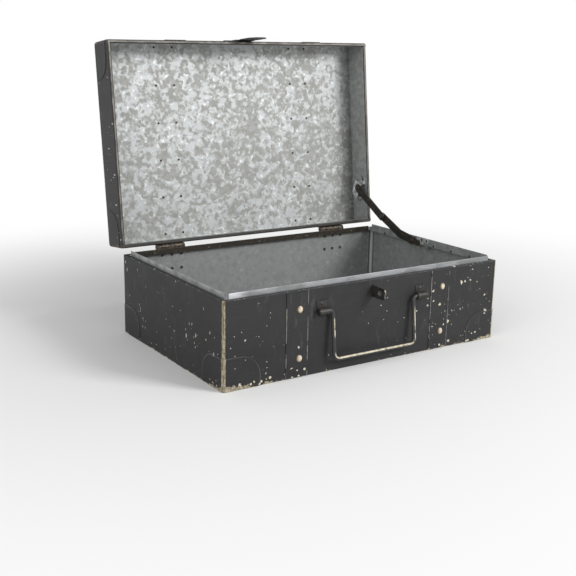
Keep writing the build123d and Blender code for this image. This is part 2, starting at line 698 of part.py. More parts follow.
def stay_lid_bracket():
    """A bridge on the inside of the lid's right wall that carries the upper arm clear of the strip."""
    t = stay_bracket_sheet
    bridge = bridge_x0 + t / 2
    foot = half_w - sheet - t / 2
    reach = lid_bracket_half_bridge
    end = reach + lid_bracket_foot
    half = [(end, -foot), (reach, -foot), (reach, -bridge)]
    points = [(-y, x) for y, x in half] + half[::-1]
    level = Plane(origin=(0, *bracket_middle), x_dir=(0, slope_y, slope_z), z_dir=(0, -slope_z, slope_y))
    solid = extrude(level * folded(points, t, t), amount=lid_bracket_width / 2, both=True)
    outline = Plane(origin=(bridge_x0 - t, *bracket_middle), x_dir=(0, slope_y, slope_z), z_dir=(1, 0, 0))
    outline *= RectangleRounded(2 * end, lid_bracket_width, lid_bracket_corner)
    solid &= extrude(outline, amount=half_w - bridge_x0)
    hole = Pos(bridge, *lid_pivot) * Rot(0, 90, 0) * Cylinder(pivot_radius + fixed_gap, 4 * t)
    return solid - hole


def stay_lid_bracket_rivet_rows():
    """One rivet through each foot, and through the corner plate too where the foot lies behind it."""
    reach = lid_bracket_half_bridge + lid_bracket_foot / 2 + stay_bracket_sheet / 4
    seat = half_w - sheet - stay_bracket_sheet
    rows = []
    for s in (-reach, reach):
        y, z = bracket_middle[0] + s * slope_y, bracket_middle[1] + s * slope_z
        cover = plate if y > half_d - plate_length else 0
        rows += rivets_at([(seat, y, z)], (-1, 0, 0), stay_bracket_sheet + sheet + cover, leaf_rivet)
    return rows


# ---- the pieces, by body -------------------------------------------------------------
spans = knuckle_spans(hinge_width, hinge_knuckles, knuckle_gap)
body_leaf = hinge_leaf(spans[0::2], seam - body_leaf_length, hinge_pin_radius + fixed_gap)
lid_leaf = hinge_leaf(spans[1::2], pin_z + lid_leaf_length, hinge_pin_radius + running_gap)

rim_rows = strip_rivet_rows()
body_strap_rows = body_strap_rivet_rows()
eye_rows = eye_rivet_rows()
hinge_body_rows = hinge_rivet_rows([seam - drop for drop in body_leaf_rows])
body_bracket_rows = stay_body_bracket_rivet_rows()
lid_strap_rows = lid_strap_rivet_rows()
lid_tack_rows = tack_rows()
hinge_lid_rows = hinge_rivet_rows([pin_z + rise for rise in lid_leaf_rows])
hasp_leaf_rows = hasp_leaf_rivet_rows()
lid_bracket_rows = stay_lid_bracket_rivet_rows()

fixed = {"body_wrap": drilled(body_wrap(), rim_rows + body_strap_rows + eye_rows + hinge_body_rows)}
for side, solid in zip(("left", "right"), left_right(body_left_side())):
    fixed[f"body_{side}_side"] = drilled(solid, rim_rows)
fixed["front_rim_strip"] = drilled(front_strip(strip_rise, -1), rim_rows)
fixed["back_rim_strip"] = drilled(front_strip(strip_rise_back, 1), rim_rows)
for side, solid in zip(("left", "right"), left_right(left_strip())):
    fixed[f"{side}_rim_strip"] = drilled(solid, rim_rows + body_bracket_rows)
fixed["rim_strip_rivets"] = rivet_group(rim_rows)
for name, solid in four_corners(corner_plate(plate_end_gap, 1, plate_height)).items():
    fixed["body_corner_plate_" + name] = solid
for side, solid in zip(("left", "right"), left_right(body_left_strap())):
    fixed[f"body_{side}_strap"] = drilled(solid, body_strap_rows)
fixed["body_strap_rivets"] = rivet_group(body_strap_rows)
for side, solid in zip(("left", "right"), left_right(left_eye())):
    fixed[f"handle_{side}_eye"] = drilled(solid, eye_rows)
fixed["handle_eye_rivets"] = rivet_group(eye_rows)
fixed["staple"] = staple()
for side, x in hinge_places:
    fixed[f"{side}_hinge_body_leaf"] = drilled(Pos(x, 0, 0) * body_leaf, hinge_body_rows)
    fixed[f"{side}_hinge_pin"] = Pos(x, 0, 0) * hinge_pin()
fixed["hinge_body_rivets"] = rivet_group(hinge_body_rows)
fixed["stay_body_bracket"] = drilled(stay_body_bracket(), body_bracket_rows)
fixed["stay_body_bracket_rivets"] = rivet_group(body_bracket_rows)
fixed["stay_body_pivot"] = pivot(body_pivot, lower_arm_x - arm_sheet / 2 - fixed_gap, strip_face)

handle = {"handle_bail": bail()}

lid = {"lid_pan": drilled(lid_pan(), lid_strap_rows + lid_tack_rows + hinge_lid_rows + hasp_leaf_rows)}
for side, solid in zip(("left", "right"), left_right(lid_left_side())):
    lid[f"lid_{side}_side"] = drilled(solid, lid_bracket_rows)
for name, solid in four_corners(corner_plate(lid_top - lid_bend, -1, lid_plate_height)).items():
    lid["lid_corner_plate_" + name] = drilled(solid, lid_bracket_rows)
for side, solid in zip(("left", "right"), left_right(lid_left_strap())):
    lid[f"lid_{side}_strap"] = drilled(solid, lid_strap_rows + lid_tack_rows)
lid["lid_strap_rivets"] = rivet_group(lid_strap_rows)
lid["lid_strap_tacks"] = rivet_group(lid_tack_rows)
for side, x in hinge_places:
    lid[f"{side}_hinge_lid_leaf"] = drilled(Pos(x, 0, 0) * lid_leaf, hinge_lid_rows)
lid["hinge_lid_rivets"] = rivet_group(hinge_lid_rows)
lid["hasp_leaf"] = drilled(hasp_leaf(), hasp_leaf_rows)
lid["hasp_leaf_rivets"] = rivet_group(hasp_leaf_rows)
lid["hasp_pin"] = hasp_pin()
lid["stay_lid_bracket"] = drilled(stay_lid_bracket(), lid_bracket_rows)
lid["stay_lid_bracket_rivets"] = rivet_group(lid_bracket_rows)
lid["stay_lid_pivot"] = pivot(lid_pivot, upper_arm_x - arm_sheet / 2 - fixed_gap, bridge_x1)

hasp = {"hasp_plate": hasp_plate()}

stay_lower = {"stay_lower_arm": lower_arm(), "stay_elbow_tail": elbow_tail()}
stay_upper = {"stay_upper_arm": upper_arm(), "stay_elbow_rivet": elbow_rivet()}

open_lid = Pos(0, pin_y, pin_z) * Rot(-open_angle, 0, 0) * Pos(0, -pin_y, -pin_z)
os.makedirs("parts", exist_ok=True)
for name, solid in {**fixed, **handle, **stay_lower, **stay_upper}.items():
    export_step(solid, f"parts/{name}.step")
for name, solid in {**lid, **hasp}.items():
    export_step(open_lid * solid, f"parts/{name}.step")
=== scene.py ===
import json
import math

import bpy
from mathutils import Matrix, Vector


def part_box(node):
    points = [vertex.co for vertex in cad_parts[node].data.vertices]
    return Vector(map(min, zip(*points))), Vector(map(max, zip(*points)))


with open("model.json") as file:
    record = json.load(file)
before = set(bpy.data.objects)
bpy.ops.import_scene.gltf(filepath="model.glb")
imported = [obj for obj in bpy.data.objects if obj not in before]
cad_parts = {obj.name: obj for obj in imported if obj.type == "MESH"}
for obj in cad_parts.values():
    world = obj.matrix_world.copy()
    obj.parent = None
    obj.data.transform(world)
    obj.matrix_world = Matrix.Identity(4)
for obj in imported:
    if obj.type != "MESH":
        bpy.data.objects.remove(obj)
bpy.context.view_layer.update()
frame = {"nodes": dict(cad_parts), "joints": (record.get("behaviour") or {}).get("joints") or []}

# The small tin trunk, open. Units are metres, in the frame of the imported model:
# X along the front, Y from the front to the back, Z up from the underside of the body.
MM = 0.001

# ---- sizes read from the frame ---------------------------------------------------
_, body_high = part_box("body_wrap")
half_width = body_high.x
half_depth = body_high.y
body_top = body_high.z
hinge = next(joint for joint in frame["joints"] if joint["name"] == "lid_hinge")
hinge_axis = Vector(hinge["pos_m"])
closing_angle = math.radians(hinge["range_deg"][1])
close_lid = (Matrix.Translation(hinge_axis) @ Matrix.Rotation(closing_angle, 4, "X")
             @ Matrix.Translation(-hinge_axis))
shut_lid = [close_lid @ vertex.co for vertex in frame["nodes"]["lid_pan"].data.vertices]
lid_rim = min(point.z for point in shut_lid)
lid_top = max(point.z for point in shut_lid)
strap_low, strap_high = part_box("body_right_strap")
strap_centre = (strap_low.x + strap_high.x) / 2
strap_half = (strap_high.x - strap_low.x) / 2
plate_low, plate_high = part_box("body_corner_plate_front_right")
plate_side = plate_high.x - plate_low.x

# ---- sizes of the sheets -----------------------------------------------------------
plate_round = 24.0 * MM
lid_plate_height = 30.0 * MM
corner_radius = 3.0 * MM
skin = 0.65 * MM               # a face further in than this is on the inside of the sheet
hem_sheet = 0.9 * MM           # a face of the shut lid lower than this is on its hem
lining_drop = 3.0 * MM         # inside the lid, a face further below its top is on a wall

# ---- where the outside is worn: each zone from where it starts to where it is full ---
BESIDE_HANDLE = (72 * MM, 96 * MM)         # off the middle of the front
RIGHT_END = (62 * MM, 104 * MM)            # right of the middle
LOW_DOWN = (62 * MM, 44 * MM)              # above the lower rim
FRONT_PART = (40 * MM, 8 * MM)             # behind the front wall
FRONT_FACE = (4 * MM, 1 * MM)              # the same
SIDE_FACE = (-2 * MM, -1 * MM)             # beyond the side wall
FOOT = (-15 * MM, -3 * MM)                 # beyond the base
FOOT_EDGE = (-5 * MM, -2 * MM)             # the same
BY_CORNER = (-40 * MM, -6 * MM)            # beyond an upright edge
CORNER_EDGE = (-2.9 * MM, -2.4 * MM)       # the same

# how much of each kind of wear the body and the lid have
BODY_WEAR = {"low_down": 0.5, "right_end": 0.75, "foot": 1.0, "nicks": 0.8, "plate_line": 0.52}
LID_WEAR = {"low_down": 0.1, "right_end": 0.15, "foot": 0.0, "nicks": 0.3, "plate_line": 0.12}

# kinds of chips: how far apart, how big, and in which share of the places
SPECKS = {"apart": 4.2 * MM, "radius": 0.85 * MM, "share": 0.34}
SPOTS = {"apart": 8 * MM, "radius": 1.25 * MM, "share": 0.30}
FLAKES = {"apart": 14 * MM, "radius": 2.7 * MM, "share": 0.75}
FOOT_CHIPS = {"apart": 5.2 * MM, "radius": 1.5 * MM, "share": 0.85}
NICKS = {"apart": 5 * MM, "radius": 1.1 * MM, "share": 0.7}
HANDLE_CHIPS = {"apart": 8 * MM, "radius": 1.2 * MM, "share": 0.14}


# ---- colours -----------------------------------------------------------------------
def srgb(red, green, blue):
    """A screen colour of 0 to 255 as the linear colour that a shader takes."""
    shares = (red / 255, green / 255, blue / 255)
    linear = [share / 12.92 if share <= 0.04045 else ((share + 0.055) / 1.055) ** 2.4 for share in shares]
    return (*linear, 1.0)


WHITE = srgb(255, 255, 255)
FLOOR = srgb(243, 243, 243)
PAINT = srgb(43, 43, 44)
PAINT_DARK = srgb(34, 34, 35)
PAINT_RUBBED = srgb(66, 66, 68)
LINE_GREY = srgb(136, 136, 135)
LINE_CREAM = srgb(158, 153, 141)
PLATE_LINE = srgb(120, 120, 119)
EDGE_CREAM = srgb(141, 132, 115)
EDGE_LIGHT = srgb(176, 165, 142)
TAN = srgb(88, 75, 56)
CHIP_CREAM = srgb(214, 204, 182)
CHIP_GREY = srgb(188, 188, 188)
FITTING_BLACK = srgb(30, 29, 28)
FITTING_GREY = srgb(52, 50, 48)
FITTING_BRIGHT = srgb(180, 172, 156)
ZINC_LIGHT = srgb(186, 189, 190)
ZINC_GREY = srgb(144, 144, 139)
ZINC_FLECK = srgb(218, 220, 221)
# the lid's inner walls: a darker copy of the lid's zinc, painted shade on walls that face away from the
# light
SHADED_WALL_LIGHT = srgb(168, 170, 169)
SHADED_WALL_GREY = srgb(138, 139, 138)
SHADED_WALL_FLECK = srgb(196, 198, 198)
DULL_LIGHT = srgb(153, 156, 155)
DULL_GREY = srgb(127, 130, 129)
DULL_FLECK = srgb(186, 188, 188)
STRIP_LIGHT = srgb(160, 162, 164)
STRIP_GREY = srgb(130, 132, 132)
# painted highlight on the front strip's rolled top
STRIP_HIGHLIGHT = srgb(206, 208, 212)
SIDE_STRIP_LIGHT = srgb(162, 165, 164)
SIDE_STRIP_GREY = srgb(134, 137, 136)
BRACKET_LIGHT = srgb(196, 198, 198)
BRACKET_GREY = srgb(104, 105, 104)
# the lid's bracket: a lighter copy of the bracket zinc, painted highlight on a part that is in shade
LID_BRACKET_HIGHLIGHT = srgb(226, 228, 228)
LID_BRACKET_LIT_GREY = srgb(112, 113, 112)
# grey for painted shade in the zinc: the lid lining's right-hand end and the line beside the body's inside
# corners
PAINTED_SHADE_GREY = srgb(74, 77, 77)
RIM_LIGHT = srgb(118, 114, 108)
RIM_WARM = srgb(84, 80, 74)
RIM_DARK = srgb(32, 30, 28)
BROWN = srgb(46, 40, 31)
BROWN_DARK = srgb(27, 25, 21)
BROWN_RUST = srgb(80, 62, 43)
BROWN_WORN = srgb(100, 88, 73)
BRASS = srgb(150, 122, 74)
DIRT = srgb(60, 60, 60)
RIVET_LIGHT = srgb(70, 66, 62)
RIVET_DARK = srgb(34, 32, 30)
LID_RIVET_LIGHT = srgb(60, 56, 52)
LID_RIVET_DARK = srgb(30, 28, 26)


# ---- short forms for material nodes ----------------------------------------------------
def shifted(zone, origin):
    """A zone's two ends, measured from origin."""
    start, full = zone
    return origin + start, origin + full


class Paper:
    """The node tree of a new material or a world, with a call for each kind of node that is used here."""

    def __init__(self, name, owner=None):
        self.material = owner or bpy.data.materials.new(name)
        self.material.use_nodes = True
        self.tree = self.material.node_tree
        self.tree.nodes.clear()

    def add(self, kind, inputs, **settings):
        made = self.tree.nodes.new("ShaderNode" + kind)
        for key, value in settings.items():
            setattr(made, key, value)
        for key, value in inputs.items():
            if isinstance(value, bpy.types.NodeSocket):
                self.tree.links.new(value, made.inputs[key])
            else:
                made.inputs[key].default_value = value
        return made

    def calc(self, operation, a, b=0.0):
        return self.add("Math", {0: a, 1: b}, operation=operation).outputs[0]

    def fold(self, operation, first, others):
        for other in others:
            first = self.calc(operation, first, other)
        return first

    def most(self, first, *others):
        return self.fold("MAXIMUM", first, others)

    def least(self, first, *others):
        return self.fold("MINIMUM", first, others)

    def product(self, first, *others):
        return self.fold("MULTIPLY", first, others)

    def total(self, first, *others):
        return self.fold("ADD", first, others)

    def minus(self, a, b):
        return self.calc("SUBTRACT", a, b)

    def size_of(self, value):
        return self.calc("ABSOLUTE", value)

    def distance(self, a, b):
        """The length of a line that goes a along and b across."""
        return self.calc("SQRT", self.total(self.product(a, a), self.product(b, b)))

    def ramp(self, value, low, high, start=0.0, end=1.0):
        """A smooth step from start to end, as value goes from low to high."""
        inputs = {"Value": value, "From Min": low, "From Max": high, "To Min": start, "To Max": end}
        return self.add("MapRange", inputs, interpolation_type="SMOOTHSTEP").outputs["Result"]

    def mix(self, share, a, b):
        """A colour part of the way from a to b."""
        inputs = {"Factor": share, 6: a, 7: b}
        return self.add("Mix", inputs, data_type="RGBA").outputs[2]

    def blend(self, share, a, b):
        """A number part of the way from a to b."""
        return self.add("Mix", {"Factor": share, 2: a, 3: b}).outputs[0]

    def noise(self, place, size, detail=2.0, rough=0.5, distortion=0.0):
        """Noise from 0 to 1 whose lumps are about size across."""
        inputs = {"Vector": place, "Scale": 1.0 / size, "Detail": detail, "Roughness": rough,
                  "Distortion": distortion}
        return self.add("TexNoise", inputs).outputs[0]

    def patches(self, place, size, low, high, detail=2.0, rough=0.5):
        """Patches about size across: 0 where the noise is under low, and 1 where it is over high."""
        return self.ramp(self.noise(place, size, detail, rough), low, high)

    def cells(self, place, size):
        """Cells about size across: how far a point is from its cell's middle, and the cell's colour."""
        made = self.add("TexVoronoi", {"Vector": place, "Scale": 1.0 / size}, feature="F1")
        return made.outputs["Distance"], made.outputs["Color"]

    def stretch(self, place, x, y, z):
        return self.add("VectorMath", {0: place, 1: (x, y, z)}, operation="MULTIPLY").outputs[0]

    def turn(self, vector, axis, angle, centre=(0, 0, 0)):
        inputs = {"Vector": vector, "Center": centre, "Angle": angle}
        return self.add("VectorRotate", inputs, rotation_type=axis).outputs[0]

    def shake(self, place, size, amount):
        """The place moved about by a noise, so that shapes drawn with it get ragged."""
        made = self.add("TexNoise", {"Vector": place, "Scale": 1.0 / size, "Detail": 2.0})
        inputs = {0: made.outputs["Color"], 1: (0.5, 0.5, 0.5)}
        moved = self.add("VectorMath", inputs, operation="SUBTRACT").outputs[0]
        moved = self.add("VectorMath", {0: moved, "Scale": amount}, operation="SCALE").outputs[0]
        return self.add("VectorMath", {0: place, 1: moved}, operation="ADD").outputs[0]

    def split(self, vector):
        return self.add("SeparateXYZ", {0: vector}).outputs

    def place(self, lid=False):
        """The point being shaded, with the lid shut, so that one rule serves the body and the lid."""
        point = self.add("TexCoord", {}).outputs["Object"]
        if not lid:
            return point
        return self.turn(point, "X_AXIS", closing_angle, hinge_axis)

    def facing(self, direction, low, high, lid=False):
        """1 where the surface faces direction, and 0 where it faces away."""
        normal = self.add("TexCoord", {}).outputs["Normal"]
        if lid:
            normal = self.turn(normal, "X_AXIS", closing_angle)
        share = self.add("VectorMath", {0: normal, 1: direction}, operation="DOT_PRODUCT").outputs["Value"]
        return self.ramp(share, low, high)

    def relief(self, *layers):
        """Bumps stacked on one another, each a height and a depth in metres."""
        made = None
        for height, depth in layers:
            inputs = {"Height": height, "Distance": depth, "Strength": 1.0}
            if made:
                inputs["Normal"] = made
            made = self.add("Bump", inputs).outputs[0]
        return made

    def finish(self, colour, rough, metal, normal, gloss=0.5):
        inputs = {"Base Color": colour, "Roughness": rough, "Metallic": metal, "Normal": normal,
                  "Specular IOR Level": gloss}
        shader = self.add("BsdfPrincipled", inputs)
        self.add("OutputMaterial", {"Surface": shader.outputs[0]})
        return self.material


# ---- what several materials share -----------------------------------------------------------
def edge_distances(paper, place, low, high):
    """How far a point is beyond the box's upright, top and bottom edges: 0 there, less away from them."""
    x, y, z = paper.split(place)
    beyond_x = paper.minus(paper.size_of(x), half_width)
    beyond_y = paper.minus(paper.size_of(y), half_depth)
    around = paper.most(beyond_x, beyond_y)
    upright = paper.least(beyond_x, beyond_y)
    top = paper.least(around, paper.minus(z, high))
    base = paper.least(around, paper.minus(low, z))
    return upright, top, base


def inside_walls(paper, place):
    """How far a point is inside the planes of the side walls, and of the front and back walls."""
    x, y, _ = paper.split(place)
    return paper.minus(half_width, paper.size_of(x)), paper.minus(half_depth, paper.size_of(y))


def chips(paper, place, kind, crowd):
    """Small flakes of one kind knocked out of the paint; crowd, from 0 to 1, thins them out."""
    apart = kind["apart"]
    ragged = paper.shake(place, apart * 0.2, apart * 0.34)
    distance, colour = paper.cells(ragged, apart)
    chance, reach, _ = paper.split(colour)
    chosen = paper.calc("LESS_THAN", chance, paper.product(crowd, kind["share"]))
    edge = paper.product(paper.ramp(reach, 0, 1, 0.5, 1.0), kind["radius"] / apart)
    inside = paper.calc("LESS_THAN", distance, edge)
    return paper.product(inside, chosen)


def brushed_paint(paper, place):
    """Brushed black enamel: long fine strokes, slanted where it was gone over, and dull patches."""
    stroke_long = 26 * MM
    stroke_fine = 0.9 * MM
    slant = math.radians(58)
    fineness = stroke_long / stroke_fine
    wobble = paper.shake(place, 40 * MM, 5 * MM)
    level = paper.noise(paper.stretch(wobble, 1, 1, fineness), stroke_long, detail=4, rough=0.65)
    turned = paper.turn(wobble, "Y_AXIS", slant)
    slanted = paper.noise(paper.stretch(turned, 1, 1, fineness), stroke_long, detail=4, rough=0.65)
    strokes = paper.blend(paper.patches(place, 30 * MM, 0.5, 0.6), level, slanted)
    smears = paper.patches(paper.stretch(wobble, 1, 1, 0.3), 7 * MM, 0.54, 0.72, detail=4, rough=0.6)
    smears = paper.product(smears, paper.patches(place, 70 * MM, 0.42, 0.6, detail=1))
    lifted = paper.most(paper.product(paper.ramp(strokes, 0.48, 0.8), 0.55), smears)
    tone = paper.mix(lifted, PAINT, PAINT_RUBBED)
    clean = paper.patches(place, 55 * MM, 0.32, 0.62, detail=5, rough=0.6)
    return paper.mix(paper.total(paper.product(clean, 0.6), 0.4), PAINT_DARK, tone), strokes


# ---- black enamel on the outside ----------------------------------------------------------------
def front_share(paper, y):
    """1 on the front, and little on the side walls further back."""
    return paper.ramp(y, *shifted(FRONT_PART, -half_depth), 0.1, 1.0)


def handle_free(paper, x, y):
    """1 on the front beside the handle's part of it, and little on the side walls further back."""
    return paper.product(paper.ramp(paper.size_of(x), *BESIDE_HANDLE), front_share(paper, y))


def ragged_edge(paper, rag):
    """The raggedness of a worn border, in metres to each side of it."""
    return paper.ramp(rag, 0, 1, -1.6 * MM, 1.6 * MM)


def chipped_paint(paper, place, low, base, wear):
    """Where the paint is chipped off, and the colour that shows there.

    There are few chips behind the handle, more low down beside the straps, and most at the right-hand end
    and at the foot. The side walls have upright nicks in groups."""
    x, y, z = paper.split(place)
    beside = handle_free(paper, x, y)
    low_down = paper.product(paper.ramp(z, *shifted(LOW_DOWN, low)), beside, wear["low_down"])
    right_end = paper.product(paper.ramp(x, *RIGHT_END), front_share(paper, y), wear["right_end"])
    foot = paper.product(paper.ramp(base, *FOOT), beside, wear["foot"])
    sides = paper.ramp(paper.size_of(x), *shifted(SIDE_FACE, half_width))
    groups = paper.product(paper.patches(place, 28 * MM, 0.50, 0.60), sides, wear["nicks"])
    scattered = paper.total(paper.product(paper.patches(place, 50 * MM, 0.46, 0.60), 0.3), 0.05)
    crowd = paper.total(scattered, paper.total(low_down, right_end))
    crowd = paper.product(crowd, paper.ramp(sides, 0, 1, 1.0, 0.55))

    specks = chips(paper, place, SPECKS, crowd)
    spots = chips(paper, place, SPOTS, crowd)
    flakes = chips(paper, place, FLAKES, right_end)
    foot_chips = chips(paper, place, FOOT_CHIPS, foot)
    nicks = chips(paper, paper.stretch(place, 1, 1, 0.4), NICKS, groups)
    chipped = paper.most(specks, spots, flakes, foot_chips, nicks)
    warm = paper.most(paper.patches(place, 16 * MM, 0.46, 0.58, detail=1), flakes, foot_chips)
    return chipped, paper.mix(warm, CHIP_GREY, CHIP_CREAM)


def worn_lid_edges(paper, rag, slow, upright, top):
    """The lid's edges, rubbed here and there down its corners and along its top."""
    ragged = ragged_edge(paper, rag)
    corner = paper.ramp(paper.total(upright, paper.product(ragged, 0.45)), *CORNER_EDGE)
    corner = paper.product(corner, paper.ramp(rag, 0.52, 0.62))
    along = paper.ramp(slow, 0.42, 0.66, -1.8 * MM, 0.6 * MM)
    reach = paper.total(top, paper.product(ragged, 0.7), along)
    return paper.most(corner, paper.ramp(reach, -0.9 * MM, -0.4 * MM))


def worn_body_edges(paper, place, rag, slow, upright, base):
    """The body's edges, rubbed down its corners, and along its base, most of all by the front corners."""
    x, y, _ = paper.split(place)
    ragged = ragged_edge(paper, rag)
    corner = paper.ramp(paper.total(upright, paper.product(ragged, 0.45)), *CORNER_EDGE)
    on_front = paper.ramp(y, *shifted(FRONT_FACE, -half_depth), 0.45, 1.0)
    by_corner = paper.product(paper.ramp(upright, *BY_CORNER), on_front)
    bits = paper.product(paper.patches(place, 7 * MM, 0.46, 0.60, detail=3), handle_free(paper, x, y))
    along = paper.ramp(slow, 0.36, 0.56, -1.6 * MM, 1.3 * MM)
    along = paper.total(along, paper.product(by_corner, 4.4 * MM), paper.product(bits, 2.0 * MM))
    reach = paper.total(base, paper.product(ragged, 1.5), along)
    return paper.most(corner, paper.ramp(reach, 0.3 * MM, 0.8 * MM))


def strap_line(paper, place, rag):
    """How much the two long borders of a strap are rubbed, in broken thin lines."""
    x, _, _ = paper.split(place)
    off_centre = paper.size_of(paper.minus(paper.size_of(x), strap_centre))
    beyond = paper.minus(off_centre, strap_half)
    ragged = paper.product(ragged_edge(paper, rag), 0.35)
    line = paper.ramp(paper.total(beyond, ragged), -0.75 * MM, -0.3 * MM)
    return paper.product(line, paper.patches(place, 13 * MM, 0.43, 0.53, detail=3))


def plate_line(paper, place, lid):
    """A thin line along the border of a corner plate, where the paint over it is rubbed."""
    _, _, z = paper.split(place)
    if lid:
        past_rise = paper.minus(lid_top - (lid_plate_height - plate_round), z)
    else:
        past_rise = paper.minus(z, plate_high.z - plate_round)
    inward = paper.most(*inside_walls(paper, place))
    past_side = paper.minus(inward, plate_side - plate_round)
    far = paper.distance(paper.most(past_side, 0.0), paper.most(past_rise, 0.0))
    return paper.ramp(far, plate_round - 1.5 * MM, plate_round - 0.8 * MM)


def undercoat(paper, place, base):
    """Cream undercoat with tan streaks, which are fainter along the base."""
    cream = paper.mix(paper.patches(place, 3 * MM, 0.40, 0.62, detail=3), EDGE_CREAM, EDGE_LIGHT)
    streaks = paper.patches(paper.stretch(place, 1, 1, 0.10), 0.9 * MM, 0.48, 0.62)
    streaks = paper.product(streaks, paper.ramp(base, *FOOT_EDGE, 0.8, 0.35))
    return paper.mix(streaks, cream, TAN)


def painted(name, lid=False, strap=False, corner_plate=False):
    """The outside: brushed black enamel, chipped, with cream undercoat at the edges."""
    paper = Paper(name)
    place = paper.place(lid)
    low, high = (lid_rim, lid_top) if lid else (0.0, body_top)
    wear = LID_WEAR if lid else BODY_WEAR
    upright, top, base = edge_distances(paper, place, low, high)
    rag = paper.noise(place, 4 * MM, detail=4, rough=0.7)
    slow = paper.noise(place, 50 * MM)

    colour, strokes = brushed_paint(paper, place)
    chipped, bare = chipped_paint(paper, place, low, base, wear)
    colour = paper.mix(paper.product(chipped, 0.9), colour, bare)
    if lid:
        worn = worn_lid_edges(paper, rag, slow, upright, top)
    else:
        worn = worn_body_edges(paper, place, rag, slow, upright, base)
        grazed = paper.product(paper.ramp(top, -0.8 * MM, -0.3 * MM), paper.ramp(rag, 0.56, 0.62), 0.5)
        colour = paper.mix(grazed, colour, CHIP_GREY)
    if strap:
        rubbed = paper.mix(paper.patches(place, 16 * MM, 0.5, 0.6, detail=1), LINE_GREY, LINE_CREAM)
        colour = paper.mix(paper.product(strap_line(paper, place, rag), 0.85), colour, rubbed)
    if corner_plate:
        broken = paper.ramp(slow, 0.34, 0.56)
        line = paper.product(plate_line(paper, place, lid), broken, wear["plate_line"])
        colour = paper.mix(line, colour, PLATE_LINE)
    colour = paper.mix(worn, colour, undercoat(paper, place, base))

    open_skin = paper.most(worn, chipped)
    dents = paper.noise(place, 45 * MM, detail=1)
    film = paper.minus(1.0, open_skin)
    normal = paper.relief((dents, 0.5 * MM), (strokes, 0.09 * MM), (film, 0.12 * MM))
    rough = paper.blend(open_skin, paper.ramp(strokes, 0.3, 0.7, 0.5, 0.62), 0.8)
    return paper.finish(colour, rough, 0.0, normal, gloss=0.3)


# ---- zinc ------------------------------------------------------------------------------------------
def shaded_lining_end(paper, place, colour):
    """The lid's lining darkened towards its right-hand end: painted shade, where the right-hand wall
    shades it.
    """
    x, _, _ = paper.split(place)
    inward, _ = inside_walls(paper, place)
    share = paper.product(paper.ramp(inward, 13 * MM, 2 * MM), paper.ramp(x, 0, 60 * MM), 0.55)
    return paper.mix(share, colour, PAINTED_SHADE_GREY)


def lit_corner_seam(paper, place, colour):
    """The body's inside corners: a painted highlight down the rounded seam, with a line of painted shade
    beside it.
    """
    inward, behind = inside_walls(paper, place)
    off_corner = paper.most(paper.total(inward, 3 * MM), behind)
    colour = paper.mix(paper.ramp(off_corner, 8.6 * MM, 7.0 * MM, 0.0, 0.8), colour, PAINTED_SHADE_GREY)
    return paper.mix(paper.ramp(off_corner, 6.0 * MM, 5.2 * MM), colour, DULL_FLECK)


def zinc(name, light, grey, fleck, contrast, lid=False, border=None):
    """Hot-dipped zinc: frost flowers in two tones, with a few bright flecks and some specks of dirt."""
    paper = Paper(name)
    place = paper.place(lid)
    drawn = paper.shake(place, 7 * MM, 5 * MM)
    leaf = paper.noise(drawn, 7.6 * MM, detail=3, distortion=0.4)
    fine = paper.noise(drawn, 4.2 * MM)
    broad = paper.ramp(paper.noise(place, 85 * MM, detail=1), 0.3, 0.7, -0.035, 0.03)
    flower = paper.ramp(paper.total(paper.blend(0.34, leaf, fine), broad), 0.43, 0.57)
    _, crystal = paper.cells(drawn, 4.5 * MM)
    grain, _, _ = paper.split(crystal)
    tone = paper.mix(flower, grey, light)
    tone = paper.mix(paper.product(grain, 0.55), tone, paper.mix(0.55, grey, light))
    bright = paper.product(paper.patches(drawn, 5 * MM, 0.60, 0.68), flower, 0.8)
    tone = paper.mix(bright, tone, fleck)
    dirt = paper.patches(place, 3 * MM, 0.70, 0.76, detail=3, rough=0.7)
    tone = paper.mix(paper.product(dirt, 0.45), tone, DIRT)
    colour = paper.mix(contrast, paper.mix(0.5, grey, light), tone)
    if border:
        colour = border(paper, place, colour)
    normal = paper.relief((paper.noise(place, 50 * MM, detail=1), 0.7 * MM), (grain, 0.015 * MM))
    return paper.finish(colour, paper.blend(flower, 0.62, 0.48), 0.25, normal)


def front_strip_zinc():
    """The front strip: rolled zinc, scuffed along its length, with a painted highlight along its rolled
    top at its left end.
    """
    paper = Paper("front_strip_zinc")
    place = paper.place()
    x, _, _ = paper.split(place)
    run = paper.noise(paper.stretch(place, 0.16, 1, 1), 4 * MM, detail=4, rough=0.6)
    patch = paper.noise(place, 34 * MM)
    colour = paper.mix(paper.ramp(paper.blend(0.5, run, patch), 0.40, 0.60), STRIP_GREY, STRIP_LIGHT)
    # painted highlight where the rolled top curves at the left end
    left_end_highlight = paper.ramp(x, *shifted((36 * MM, 16 * MM), -half_width))
    colour = paper.mix(paper.product(left_end_highlight, paper.ramp(run, 0.34, 0.46)), colour, STRIP_HIGHLIGHT)
    scuffs = paper.patches(paper.stretch(place, 0.3, 1, 1), 3 * MM, 0.64, 0.70, detail=3)
    colour = paper.mix(paper.product(scuffs, 0.6), colour, ZINC_LIGHT)
    return paper.finish(colour, paper.ramp(run, 0.3, 0.7, 0.55, 0.4), 0.3, paper.relief((run, 0.05 * MM)))


